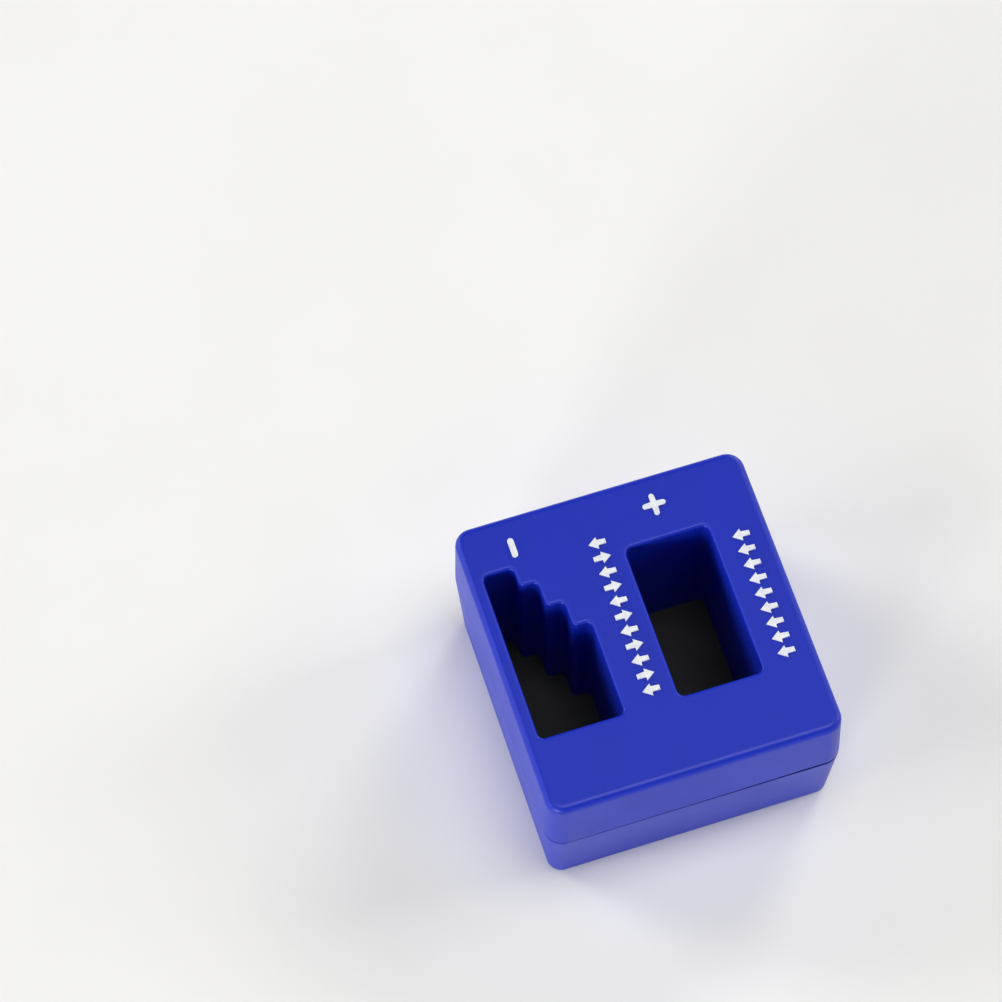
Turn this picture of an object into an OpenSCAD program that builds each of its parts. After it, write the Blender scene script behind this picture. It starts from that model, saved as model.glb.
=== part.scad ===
// Bench magnetizer and demagnetizer block for watchmaker's tools.
// Two moulded half shells hold two ferrite bar magnets, one on each side of the magnetizing well. A slot
// behind the centre magnet has four steps that lead a blade away from the field a little at a time.
// Millimetres, +Z up. The origin is the centre of the underside, +X is the well's side, +Y the back.

/* [Block] */
// Width across the two openings, measured at the parting line
block_w = 49.3; // [49:0.1:52]
// Depth from front to back, measured at the parting line
block_d = 52; // [51:0.5:58]
// Height from the underside to the top face
block_h = 29; // [28.6:0.2:32]
// Height of the parting line between the half shells
parting_z = 16.5; // [15.5:0.25:17]
// Corner radius in plan at the parting line
corner_r = 3.2; // [2.8:0.1:4]
// Radius of the rounded edge round the top face
top_edge_r = 1.2; // [0.6:0.1:1.8]
// Angle by which the upper shell's sides lean in towards the top
upper_draft = 1.5; // [0.5:0.25:2]
// Angle by which the lower shell's front and back lean in towards the base
lower_draft = 6.5; // [4:0.25:6.5]
// Angle by which the lower shell's two sides lean in towards the base
side_draft = 3; // [2:0.25:3.5]
// Corner radius in plan at the base
base_corner_r = 2.4; // [2:0.1:2.8]

/* [Magnetizing well] */
// Width of the well from side to side
well_w = 14; // [13:0.25:14]
// Length of the well from front to back
well_l = 27; // [26:0.5:28]
// Distance from the well to the block's right side
well_side_wall = 9.5; // [9.5:0.1:10]
// Distance from both openings to the block's front
front_wall = 13.2; // [12:0.2:14]
// Radius of the well's upright corners
well_corner_r = 1.2; // [0.8:0.1:1.8]

/* [Demagnetizing slot] */
// Width of the slot at its widest, beside the centre magnet
slot_w = 14; // [13.5:0.25:14]
// Length of the slot from front to back
slot_l = 29.4; // [28:0.2:31]
// Thickness of the web between the slot and the well
web_w = 9.05; // [9.05:0.05:9.5]
// Number of steps down the slot's inner side
slot_steps = 4; // [3:1:4]
// Distance that each step moves away from the centre magnet
step_w = 2.95; // [2.5:0.05:3]
// Length of the narrow step at the back
first_step_l = 3.5; // [3:0.25:4.5]
// Length of each of the other steps
step_l = 4.6; // [4:0.1:5]
// Radius of the slot's upright corners, inside and outside
step_r = 1; // [0.6:0.1:1.2]

/* [Shells] */
// Thickness of the outer walls
wall = 1.6; // [1.4:0.1:1.6]
// Thickness of the walls round the two openings
tube_wall = 1.5; // [1.2:0.1:1.5]
// Thickness of the roof under the top face
roof = 2; // [1.6:0.1:2.2]
// Size of the bevels that make the groove along the parting line
parting_bevel = 0.16; // [0.1:0.02:0.3]
// Size of the rounded lip at each opening's mouth
mouth_r = 0.5; // [0.3:0.05:0.7]
// Radius of the press pins that join the shells
pin_r = 1.2; // [1:0.1:1.4]
// Height of the press pins above the parting line
pin_h = 5; // [3:0.5:6]

/* [Magnets] */
// Thickness of each ferrite bar
magnet_t = 5; // [4.5:0.1:5]
// Length of each ferrite bar, front to back
magnet_l = 25; // [22:0.5:25]
// Height of each ferrite bar
magnet_h = 20; // [18:0.5:20]

/* [Base pad] */
// Thickness of the pad that is set into the underside
pad_t = 1; // [0.8:0.1:1.4]
// Width of the shell's rim round the pad
pad_rim = 1; // [0.8:0.1:1.1]

/* [Marks] */
// Height of the white marks above the top face
mark_h = 0.25; // [0.15:0.05:0.4]
// Length of each arm of the plus
plus_l = 3.9; // [3:0.1:5]
// Width of the strokes of the plus
plus_stroke = 0.85; // [0.6:0.05:1.2]
// Length of the minus
minus_l = 3.5; // [3:0.1:5]
// Width of the minus
minus_stroke = 1; // [0.6:0.05:1.2]
// Length of one arrow in the legends
arrow_l = 2.85; // [2.4:0.05:3]
// Width of an arrow's head
arrow_w = 2.1; // [1.8:0.05:2.3]
// Distance from one arrow to the next
arrow_pitch = 2.68; // [2.5:0.01:2.7]
// Number of arrows beside the magnetizing well
well_arrows = 9; // [5:1:9]
// Number of arrows beside the demagnetizing slot
slot_arrows = 11; // [5:1:11]

/* [Hidden] */
$fn = 64;

// Plan positions, worked out from the right side and the front
well_x1 = block_w / 2 - well_side_wall;
well_x0 = well_x1 - well_w;
slot_x1 = well_x0 - web_w;
slot_x0 = slot_x1 - slot_w;
openings_y0 = front_wall - block_d / 2;
well_y1 = openings_y0 + well_l;
slot_y1 = openings_y0 + slot_l;
well_y = (openings_y0 + well_y1) / 2;

// Distances between the upright axes of the block's corners
span_x = block_w - 2 * corner_r;
span_y = block_d - 2 * corner_r;

// Heights
floor_z = pad_t + wall;
roof_z = block_h - roof;
magnet_z = (floor_z + roof_z) / 2 - magnet_h / 2;
lip_h = 1.5;
lip_t = 0.9;
lip_gap = 0.1;
socket_h = pin_h + 0.5;

// Clearances and ribs
past = 1;
fit_gap = 0.05;
socket_gap = 0.02;
pad_gap = 0.1;
rib_t = 1.2;
boss_r = 2.2;
boss_inset = wall + lip_gap + lip_t + fit_gap + boss_r;
boss_x = block_w / 2 - boss_inset;
boss_y = block_d / 2 - boss_inset;
sliver = 0.02;

// Angle between the points of a rounded edge
arc_step = 15;

// Magnet pockets, from the wall of the well outwards
centre_magnet_x = well_x0 - tube_wall - fit_gap - magnet_t;
outer_magnet_x = well_x1 + tube_wall + fit_gap;
magnet_y = well_y - magnet_l / 2;

// Mark positions
well_legend_inset = 5.05;
well_legend_x = block_w / 2 - well_legend_inset;
slot_legend_inset = 5.2;
slot_legend_x = slot_x1 + slot_legend_inset;
slot_legend_y = 3.1;
plus_y = 20.15;
minus_x = -15.75;
minus_y = 19.9;
arrow_head_l = 1.45;
arrow_shaft_w = 0.85;

// Distance from a corner's axis to the outer face of the upper shell at height z
function upper_reach(z) = corner_r - (z - parting_z) * tan(upper_draft);

// Distance from the middle to the lower shell's sides and to its front and back at height z
function lower_x(z) = block_w / 2 - (parting_z - z) * tan(side_draft);
function lower_y(z) = block_d / 2 - (parting_z - z) * tan(lower_draft);

// Right edge and back edge of one step of the slot, counted from the back
function step_x1(i) = slot_x1 - (slot_steps - 1 - i) * step_w;
function step_y1(i) = i == 0 ? slot_y1 : slot_y1 - first_step_l - (i - 1) * step_l;

// One outline moved out by half a span, followed by its mirror image
function both_sides(outline, half_span) = concat(
    [for (p = outline) [half_span + p[0], p[1]]],
    [for (i = [len(outline) - 1:-1:0]) [-half_span - outline[i][0], outline[i][1]]]
);

// Solid with a rounded rectangular plan. Its outline gives distance from a corner's axis against height.
module rounded_solid(x_span, y_span, outline) {
    for (sx = [-1, 1], sy = [-1, 1])
        translate([sx * x_span / 2, sy * y_span / 2, 0])
            rotate_extrude()
                polygon(outline);
    rotate([90, 0, 0])
        linear_extrude(y_span, center = true)
            polygon(both_sides(outline, x_span / 2));
    rotate([90, 0, 90])
        linear_extrude(x_span, center = true)
            polygon(both_sides(outline, y_span / 2));
}

// Upright-sided solid between two corners in plan, with rounded corners and an optional flared mouth
module opening(x0, x1, y0, y1, r, z0, flare = 0) {
    lip = [for (a = [0:arc_step:90]) [r + flare * (1 - cos(a)), block_h - flare + flare * sin(a)]];
    top = [[r + flare, block_h + past], [0, block_h + past]];
    translate([(x0 + x1) / 2, (y0 + y1) / 2, 0])
        rounded_solid(x1 - x0 - 2 * r, y1 - y0 - 2 * r, concat([[0, z0], [r, z0]], lip, top));
}

// Thin plate with rounded corners, given by half its width, half its depth and its lower face
module plate(half_x, half_y, r, z, t) {
    translate([0, 0, z])
        rounded_solid(2 * (half_x - r), 2 * (half_y - r), [[0, 0], [r, 0], [r, t], [0, t]]);
}

// Solid that leans in towards its lower end like the lower shell, moved inwards by an inset
module leaning_solid(inset, z0, z1) {
    hull() {
        plate(lower_x(z0) - inset, lower_y(z0) - inset, base_corner_r, z0, sliver);
        plate(lower_x(z1) - inset, lower_y(z1) - inset, corner_r, z1 - sliver, sliver);
    }
}

// Plain box between two corners
module box(x0, x1, y0, y1, z0, z1) {
    translate([x0, y0, z0])
        cube([x1 - x0, y1 - y0, z1 - z0]);
}

// The two openings, from height z0 up and out through the top face
module openings(z0) {
    opening(well_x0, well_x1, openings_y0, well_y1, well_corner_r, z0, mouth_r);
    for (i = [0:slot_steps - 1])
        opening(slot_x0, step_x1(i), openings_y0, step_y1(i), step_r, z0, mouth_r);
    for (i = [0:slot_steps - 2])
        translate([step_x1(i), step_y1(i + 1), z0])
            step_edge();
}

// What is cut away to round the outer edge of a step
module step_edge() {
    spare = step_r / 4;
    difference() {
        translate([-spare, -spare, 0])
            cube([step_r + spare, step_r + spare, block_h]);
        translate([step_r, step_r, -past])
            cylinder(r = step_r, h = block_h + 2 * past);
    }
}

// Walls round both openings, between two heights. The slot's wall runs into the block's left side.
module opening_walls(z0, z1) {
    t = tube_wall;
    box(well_x0 - t, well_x1 + t, openings_y0 - t, well_y1 + t, z0, z1);
    for (i = [0:slot_steps - 1])
        box(-block_w / 2, step_x1(i) + t, openings_y0 - t, step_y1(i) + t, z0, z1);
}

// Something repeated at the four corners
module at_corners() {
    for (sx = [-1, 1], sy = [-1, 1])
        translate([sx * boss_x, sy * boss_y, 0])
            children();
}

// Two cross ribs that a magnet bears on, between two heights
module bearing_ribs(x0, z0, z1) {
    for (side = [-1, 1])
        translate([x0 - past, well_y + side * magnet_l / 4 - rib_t / 2, z0])
            cube([magnet_t + 2 * past, rib_t, z1 - z0]);
}

// Ribs that hold a magnet in place lengthwise and against the well's wall, between two heights
module locating_ribs(x0, x_rib, x_end, z0, z1) {
    for (side = [-1, 1]) {
        translate([x0 - past, well_y + side * (magnet_l / 2 + fit_gap + rib_t / 2) - rib_t / 2, z0])
            cube([magnet_t + 2 * past, rib_t, z1 - z0]);
        translate([min(x_rib, x_end), well_y + side * magnet_l / 4 - rib_t / 2, z0])
            cube([abs(x_end - x_rib), rib_t, z1 - z0]);
    }
}

// Every rib that one shell has for the two magnets, between its open edge and its floor or roof
module magnet_ribs(z_bearing0, z_bearing1, z0, z1) {
    bearing_ribs(centre_magnet_x, z_bearing0, z_bearing1);
    bearing_ribs(outer_magnet_x, z_bearing0, z_bearing1);
    locating_ribs(centre_magnet_x, centre_magnet_x - fit_gap, slot_x1, z0, z1);
    locating_ribs(outer_magnet_x, outer_magnet_x + magnet_t + fit_gap, block_w / 2, z0, z1);
}

// Upper half shell: top face, the two mouths and the upper half of each opening's walls
module upper_shell() {
    edge_x = upper_reach(block_h - top_edge_r) - top_edge_r;
    edge = [for (a = [0:arc_step:90]) [edge_x + top_edge_r * cos(a), block_h - top_edge_r * (1 - sin(a))]];
    bevel_z = parting_z + parting_bevel;
    foot = [
        [0, parting_z],
        [corner_r - parting_bevel, parting_z],
        [upper_reach(bevel_z), bevel_z],
    ];
    color("royalblue")
        difference() {
            rounded_solid(span_x, span_y, concat(foot, edge, [[0, block_h]]));
            difference() {
                rounded_solid(span_x, span_y, [
                    [0, parting_z - past],
                    [upper_reach(parting_z) - wall, parting_z - past],
                    [upper_reach(parting_z) - wall, parting_z],
                    [upper_reach(roof_z) - wall, roof_z],
                    [0, roof_z],
                ]);
                opening_walls(parting_z - 2 * past, block_h);
                at_corners()
                    translate([0, 0, parting_z - 2 * past])
                        cylinder(r = boss_r, h = block_h - parting_z);
                magnet_ribs(magnet_z + magnet_h + fit_gap, block_h, parting_z + lip_h + past / 2, block_h);
            }
            openings(parting_z - past);
            at_corners()
                translate([0, 0, parting_z - past])
                    cylinder(r = pin_r + socket_gap, h = socket_h + past);
        }
}

// Lip that stands inside the upper shell's open edge, with the ledge that carries it
module locating_lip() {
    reach = corner_r - wall;
    slot_clear = tube_wall + lip_gap;
    difference() {
        rounded_solid(span_x, span_y, [
            [0, parting_z - 2 * lip_h],
            [reach + lip_gap, parting_z - 2 * lip_h],
            [reach + lip_gap, parting_z],
            [reach - lip_gap, parting_z],
            [reach - lip_gap, parting_z + lip_h],
            [0, parting_z + lip_h],
        ]);
        rounded_solid(span_x, span_y, [
            [0, parting_z - 3 * lip_h],
            [reach - lip_gap - lip_t, parting_z - 3 * lip_h],
            [reach - lip_gap - lip_t, parting_z + 2 * lip_h],
            [0, parting_z + 2 * lip_h],
        ]);
        translate([-lip_gap, 0, 0])
            opening_walls(parting_z, block_h);
        box(-block_w, slot_x0, openings_y0 - slot_clear, slot_y1 + slot_clear, parting_z, block_h);
    }
}

// Lower half shell: the lower half of each opening's walls, the pins and the recess for the pad
module lower_shell() {
    bevel_x = block_w / 2 - parting_bevel;
    bevel_y = block_d / 2 - parting_bevel;
    bevel_z = parting_z - parting_bevel;
    color("royalblue") {
        difference() {
            union() {
                leaning_solid(0, 0, bevel_z);
                plate(bevel_x, bevel_y, corner_r, bevel_z - past, past + parting_bevel);
            }
            difference() {
                leaning_solid(wall, floor_z, parting_z + past);
                opening_walls(0, parting_z + 2 * past);
                at_corners()
                    cylinder(r = boss_r, h = parting_z + 2 * past);
                magnet_ribs(0, magnet_z - fit_gap, 0, parting_z + 2 * past);
                locating_lip();
            }
            openings(-past);
            plate(lower_x(0) - pad_rim, lower_y(0) - pad_rim, base_corner_r - pad_rim, -past, past + pad_t);
        }
        intersection() {
            locating_lip();
            box(-block_w, block_w, -block_d, block_d, parting_z, block_h);
        }
        at_corners()
            translate([0, 0, parting_z - past])
                cylinder(r = pin_r, h = pin_h + past);
    }
}

// Ferrite bar between the slot and the well
module centre_magnet() {
    color("dimgray")
        translate([centre_magnet_x, magnet_y, magnet_z])
            cube([magnet_t, magnet_l, magnet_h]);
}

// Ferrite bar between the well and the block's right side
module outer_magnet() {
    color("dimgray")
        translate([outer_magnet_x, magnet_y, magnet_z])
            cube([magnet_t, magnet_l, magnet_h]);
}

// Pad set into the underside, which also closes both openings at the bottom
module base_pad() {
    inset = pad_rim + pad_gap;
    color("darkslategray")
        plate(lower_x(0) - inset, lower_y(0) - inset, base_corner_r - inset, 0, pad_t);
}

// Flat bar with round ends, lying along Y and standing on the top face
module round_bar(length, stroke) {
    reach = (length - stroke) / 2;
    translate([-stroke / 2, -reach, block_h])
        cube([stroke, 2 * reach, mark_h]);
    for (side = [-1, 1])
        translate([0, side * reach, block_h])
            cylinder(d = stroke, h = mark_h);
}

// Plus behind the magnetizing well
module plus_mark() {
    color("white")
        translate([(well_x0 + well_x1) / 2, plus_y, 0]) {
            round_bar(plus_l, plus_stroke);
            rotate([0, 0, 90])
                round_bar(plus_l, plus_stroke);
        }
}

// Minus behind the demagnetizing slot
module minus_mark() {
    color("white")
        translate([minus_x, minus_y, 0])
            round_bar(minus_l, minus_stroke);
}

// Flat arrow that points along -X and stands on the top face
module arrow() {
    tip = -arrow_l / 2;
    neck = tip + arrow_head_l;
    translate([0, 0, block_h])
        linear_extrude(mark_h)
            polygon([
                [tip, 0],
                [neck, arrow_w / 2],
                [neck, arrow_shaft_w / 2],
                [arrow_l / 2, arrow_shaft_w / 2],
                [arrow_l / 2, -arrow_shaft_w / 2],
                [neck, -arrow_shaft_w / 2],
                [neck, -arrow_w / 2],
            ]);
}

// Row of arrows along Y. Where turn is 180, every other arrow points the opposite way.
module arrow_row(count, turn) {
    for (i = [0:count - 1])
        translate([0, (i - (count - 1) / 2) * arrow_pitch, 0])
            rotate([0, 0, i % 2 * turn])
                arrow();
}

// Legend of the magnetizing well: every arrow points the same way, as in magnetized steel
module well_legend() {
    color("white")
        translate([well_legend_x, 0, 0])
            arrow_row(well_arrows, 0);
}

// Legend of the demagnetizing slot: the arrows cancel out, as in demagnetized steel
module slot_legend() {
    color("white")
        translate([slot_legend_x, slot_legend_y, 0])
            arrow_row(slot_arrows, 180);
}

upper_shell();
lower_shell();
centre_magnet();
outer_magnet();
base_pad();
plus_mark();
minus_mark();
well_legend();
slot_legend();
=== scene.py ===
"""Looks of a bench magnetizer and demagnetizer block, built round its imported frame.

Every length is in metres, in the frame of the block: the origin is the centre of the underside, +X is the
magnetizing well's side, +Y the back and +Z up.
"""

import logging
import math
from collections.abc import Sequence
from dataclasses import dataclass, field
from enum import Enum
from typing import Any

import bmesh
import bpy
from mathutils import Matrix, Vector, noise
from mathutils.geometry import tessellate_polygon


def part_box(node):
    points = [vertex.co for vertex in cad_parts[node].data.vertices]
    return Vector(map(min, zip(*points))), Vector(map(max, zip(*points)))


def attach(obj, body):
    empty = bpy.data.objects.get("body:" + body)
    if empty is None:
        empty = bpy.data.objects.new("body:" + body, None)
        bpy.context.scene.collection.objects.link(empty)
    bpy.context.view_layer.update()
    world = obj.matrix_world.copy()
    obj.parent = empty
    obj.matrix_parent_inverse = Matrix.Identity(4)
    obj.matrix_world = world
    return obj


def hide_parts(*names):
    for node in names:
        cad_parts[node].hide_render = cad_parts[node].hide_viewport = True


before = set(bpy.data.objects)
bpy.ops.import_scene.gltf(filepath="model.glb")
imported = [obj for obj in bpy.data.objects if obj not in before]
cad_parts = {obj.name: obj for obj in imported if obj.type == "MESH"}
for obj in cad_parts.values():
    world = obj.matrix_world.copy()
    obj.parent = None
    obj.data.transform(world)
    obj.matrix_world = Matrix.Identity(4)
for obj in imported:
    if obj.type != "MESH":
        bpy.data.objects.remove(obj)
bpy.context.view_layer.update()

LOG = logging.getLogger("demagnetizer")
MM = 0.001
EDGE_ATTRIBUTE = "edge"
# Point layer that sets where the parting groove gets its painted shade.
PAINTED_SHADE_ATTRIBUTE = "painted_shade"
RIPPLE_LENGTH = 5 * MM
RIPPLE_SHARE = 0.25
Colour = tuple[float, float, float, float]


class Slot(Enum):
    """Material slots of the record."""

    SHELL = "shell"
    FERRITE = "ferrite"
    PAD = "pad"
    MARKS = "marks"


# ---------------------------------------------------------------------------------------------------------
# Shader graphs
# ---------------------------------------------------------------------------------------------------------


@dataclass(frozen=True)
class Value:
    """Output socket of a node, with arithmetic that adds Math nodes."""

    graph: "Graph"
    socket: bpy.types.NodeSocket

    def _math(self, operation: str, first: Any, second: Any) -> "Value":
        """Adds one Math node.

        Args:
            operation: The Math node's operation.
            first: The first operand, a Value or a number.
            second: The second operand, a Value or a number.

        Returns:
            The node's output.
        """
        return self.graph.add("ShaderNodeMath", {"operation": operation}, {0: first, 1: second})

    def __add__(self, other: Any) -> "Value":
        """This value plus another."""
        return self._math("ADD", self, other)

    def __radd__(self, other: Any) -> "Value":
        """A number plus this value."""
        return self._math("ADD", other, self)

    def __sub__(self, other: Any) -> "Value":
        """This value minus another."""
        return self._math("SUBTRACT", self, other)

    def __rsub__(self, other: Any) -> "Value":
        """A number minus this value."""
        return self._math("SUBTRACT", other, self)

    def __mul__(self, other: Any) -> "Value":
        """This value times another."""
        return self._math("MULTIPLY", self, other)

    def __rmul__(self, other: Any) -> "Value":
        """A number times this value."""
        return self._math("MULTIPLY", other, self)


@dataclass
class Graph:
    """Node tree of one material or of the world."""

    tree: bpy.types.NodeTree

    def add(
        self,
        kind: str,
        settings: dict[str, Any] | None = None,
        sockets: dict[str | int, Any] | None = None,
        output: str | int = 0,
    ) -> Value:
        """Adds one node.

        Args:
            kind: The node's type.
            settings: Properties of the node, set first.
            sockets: Values or links of the input sockets, by name or number.
            output: The output socket that is wanted, by name or number.

        Returns:
            The wanted output.
        """
        node = self.tree.nodes.new(kind)
        for name, value in (settings or {}).items():
            setattr(node, name, value)
        for name, value in (sockets or {}).items():
            if isinstance(value, Value):
                self.tree.links.new(value.socket, node.inputs[name])
            else:
                node.inputs[name].default_value = value
        return Value(self, node.outputs[output]) if len(node.outputs) else Value(self, None)

    def point(self) -> Value:
        """Place on the object, in metres."""
        return self.add("ShaderNodeTexCoord", output="Object")

    def noise(self, size: float, detail: float = 2.0, rough: float = 0.5, seed: float = 0.0) -> Value:
        """Soft noise from 0 to 1.

        Args:
            size: Size of the noise's features, in metres.
            detail: Number of finer octaves.
            rough: How strong the finer octaves are.
            seed: A number that makes another pattern.

        Returns:
            The noise's factor.
        """
        return self.add(
            "ShaderNodeTexNoise",
            {"noise_dimensions": "4D"},
            {"Vector": self.point(), "W": seed, "Scale": 1 / size, "Detail": detail, "Roughness": rough},
        )

    def ramp(self, value: Value, low: float, high: float) -> Value:
        """Smooth step of a value from 0 at low to 1 at high."""
        return self.add(
            "ShaderNodeMapRange",
            {"interpolation_type": "SMOOTHSTEP"},
            {"Value": value, "From Min": low, "From Max": high, "To Min": 0.0, "To Max": 1.0},
        )

    def attribute(self, name: str) -> Value:
        """A number that the mesh stores at its points."""
        return self.add("ShaderNodeAttribute", {"attribute_name": name}, output="Fac")

    def blend(self, factor: Value, first: Any, second: Any) -> Value:
        """Colour between two colours.

        Args:
            factor: 0 for the first colour, 1 for the second.
            first: The first colour, a Value or four numbers.
            second: The second colour, a Value or four numbers.

        Returns:
            The mixed colour.
        """
        return self.add(
            "ShaderNodeMix",
            {"data_type": "RGBA"},
            {"Factor": factor, 6: first, 7: second},
            output=2,
        )

    def bump(self, height: Value, depth: float, normal: Value | None = None) -> Value:
        """Normal of a surface with small relief.

        Args:
            height: Relief from 0 to 1.
            depth: Depth that a height of 1 stands for, in metres.
            normal: Normal of a coarser relief below this one.

        Returns:
            The normal.
        """
        sockets: dict[str | int, Any] = {"Height": height, "Strength": 1.0, "Distance": depth}
        if normal is not None:
            sockets["Normal"] = normal
        return self.add("ShaderNodeBump", None, sockets)


@dataclass(frozen=True)
class Finish:
    """A material that the block is made of."""

    name: str

    def make(self) -> bpy.types.Material:
        """Builds the material.

        Returns:
            The new material.
        """
        material = bpy.data.materials.new(self.name)
        material.use_nodes = True
        tree = material.node_tree
        tree.nodes.clear()
        graph = Graph(tree)
        shader = graph.add("ShaderNodeBsdfPrincipled", None, self.sockets(graph))
        graph.add("ShaderNodeOutputMaterial", None, {"Surface": shader})
        return material

    def sockets(self, graph: Graph) -> dict[str | int, Any]:
        """Inputs of the shader, each a number or a link."""
        raise NotImplementedError


@dataclass(frozen=True)
class MouldedPlastic(Finish):
    """Satin moulded plastic with a fine grain, paler edges from rubbing and a painted highlight, painted
    shade in the parting groove and a little dust.
    """

    base: Colour = (0.0045, 0.0230, 0.470, 1.0)
    shade: Colour = (0.0035, 0.0185, 0.415, 1.0)
    # Paler blue on rounded edges: partly rubbing and partly a painted highlight.
    rub_and_highlight: Colour = (0.0090, 0.0310, 0.520, 1.0)
    dust: Colour = (0.04, 0.06, 0.46, 1.0)
    # Painted shade: the deeper blue laid into the parting groove.
    painted_shade: Colour = (0.0020, 0.0080, 0.200, 1.0)
    roughness: float = 0.40
    roughness_spread: float = 0.10
    specular: float = 0.38
    grain: float = 0.22 * MM
    grain_depth: float = 0.010 * MM
    flow: float = 9 * MM
    flow_depth: float = 0.02 * MM
    scuff: float = 1.6 * MM
    speck: float = 0.35 * MM
    rub_and_highlight_patch: float = 2.5 * MM
    rub_and_highlight_least: float = 0.55
    grain_share: float = 0.4
    rub_and_highlight_share: float = 0.5
    speck_share: float = 0.35
    scuff_share: float = 0.05

    def sockets(self, graph: Graph) -> dict[str | int, Any]:
        """Wires the shader's inputs.

        Args:
            graph: The material's node tree.

        Returns:
            A number or a link for each input.
        """
        flow = graph.noise(self.flow, detail=3.0, rough=0.55, seed=1.0)
        grain = graph.noise(self.grain, detail=3.0, rough=0.6, seed=2.0)
        scuff = graph.ramp(graph.noise(self.scuff, detail=4.0, rough=0.7, seed=3.0), 0.62, 0.78)
        speck = graph.ramp(graph.noise(self.speck, detail=0.0, rough=0.5, seed=4.0), 0.80, 0.86)
        # Paler rounded edges, partly from rubbing and partly a painted highlight on the fillets and the
        # rims of the openings.
        patchy = graph.noise(self.rub_and_highlight_patch, detail=3.0, rough=0.6, seed=5.0)
        paler = graph.attribute(EDGE_ATTRIBUTE) * (self.rub_and_highlight_least + (1 - self.rub_and_highlight_least) * patchy)
        mottle = (1 - self.grain_share) * graph.ramp(flow, 0.3, 0.7) + self.grain_share * grain
        colour = graph.blend(mottle, self.base, self.shade)
        colour = graph.blend(paler * self.rub_and_highlight_share, colour, self.rub_and_highlight)
        # Painted shade: the parting groove darkened to a deeper blue.
        colour = graph.blend(graph.attribute(PAINTED_SHADE_ATTRIBUTE), colour, self.painted_shade)
        colour = graph.blend(speck * self.speck_share + scuff * self.scuff_share, colour, self.dust)
        roughness = self.roughness + self.roughness_spread * ((flow - 0.5) + scuff + (grain - 0.5))
        normal = graph.bump(flow, self.flow_depth)
        normal = graph.bump(grain, self.grain_depth, normal)
        return {
            "Base Color": colour,
            "Roughness": roughness,
            "Normal": normal,
            "Specular IOR Level": self.specular,
        }


@dataclass(frozen=True)
class WhitePaint(Finish):
    """White enamel on raised marks, a little uneven and thin at its edges."""

    base: Colour = (0.86, 0.87, 0.89, 1.0)
    thin: Colour = (0.55, 0.60, 0.80, 1.0)
    roughness: float = 0.38
    thin_share: float = 0.55
    cloud_share: float = 0.06

    def sockets(self, graph: Graph) -> dict[str | int, Any]:
        """Wires the shader's inputs.

        Args:
            graph: The material's node tree.

        Returns:
            A number or a link for each input.
        """
        cloud = graph.noise(0.9 * MM, detail=3.0, rough=0.6, seed=1.0)
        fine = graph.noise(0.16 * MM, detail=2.0, rough=0.5, seed=2.0)
        edge = graph.attribute(EDGE_ATTRIBUTE)
        thin = edge * graph.ramp(cloud, 0.35, 0.75) * self.thin_share
        colour = graph.blend(thin + graph.ramp(cloud, 0.55, 0.8) * self.cloud_share, self.base, self.thin)
        return {
            "Base Color": colour,
            "Roughness": self.roughness + 0.2 * (cloud - 0.5),
            "Normal": graph.bump(fine, 0.012 * MM, graph.bump(cloud, 0.02 * MM)),
            "IOR": 1.5,
        }


@dataclass(frozen=True)
class DarkSheet(Finish):
    """Matt dark grey sheet with a fine pressed grain, whose dark colour makes the floors of the openings
    dark.
    """

    base: Colour = (0.014, 0.0145, 0.016, 1.0)
    paler: Colour = (0.022, 0.023, 0.026, 1.0)
    pit: Colour = (0.009, 0.009, 0.010, 1.0)
    grain: float = 0.25 * MM

    def sockets(self, graph: Graph) -> dict[str | int, Any]:
        """Wires the shader's inputs.

        Args:
            graph: The material's node tree.

        Returns:
            A number or a link for each input.
        """
        grain = graph.noise(self.grain, detail=3.0, rough=0.6, seed=1.0)
        cloud = graph.noise(6 * MM, detail=4.0, rough=0.6, seed=2.0)
        colour = graph.blend(graph.ramp(cloud, 0.35, 0.7), self.base, self.paler)
        colour = graph.blend(graph.ramp(grain, 0.25, 0.5), self.pit, colour)
        return {
            "Base Color": colour,
            "Roughness": 0.82 + 0.12 * (cloud - 0.5),
            "Normal": graph.bump(grain, 0.03 * MM, graph.bump(cloud, 0.04 * MM)),
            "Specular IOR Level": 0.3,
        }


@dataclass(frozen=True)
class Ferrite(Finish):
    """Ground sintered ferrite with grinding marks and small chips."""

    base: Colour = (0.045, 0.045, 0.050, 1.0)
    pale: Colour = (0.10, 0.10, 0.105, 1.0)
    mark_stretch: tuple[float, float, float] = (1.0, 0.04, 1.0)
    mark_share: float = 0.5
    edge_share: float = 0.4

    def sockets(self, graph: Graph) -> dict[str | int, Any]:
        """Wires the shader's inputs.

        Args:
            graph: The material's node tree.

        Returns:
            A number or a link for each input.
        """
        stretched = graph.add(
            "ShaderNodeVectorMath", {"operation": "MULTIPLY"}, {0: graph.point(), 1: self.mark_stretch}
        )
        marks = graph.add(
            "ShaderNodeTexNoise", None, {"Vector": stretched, "Scale": 1 / (0.25 * MM), "Detail": 3.0}
        )
        grit = graph.noise(0.3 * MM, detail=4.0, rough=0.7, seed=3.0)
        edge = graph.attribute(EDGE_ATTRIBUTE)
        pale = graph.ramp(marks, 0.3, 0.8) * self.mark_share + edge * self.edge_share
        colour = graph.blend(pale, self.base, self.pale)
        return {
            "Base Color": colour,
            "Roughness": 0.5 + 0.25 * grit,
            "Normal": graph.bump(marks, 0.01 * MM, graph.bump(grit, 0.02 * MM)),
            "Metallic": 0.15,
        }


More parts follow.
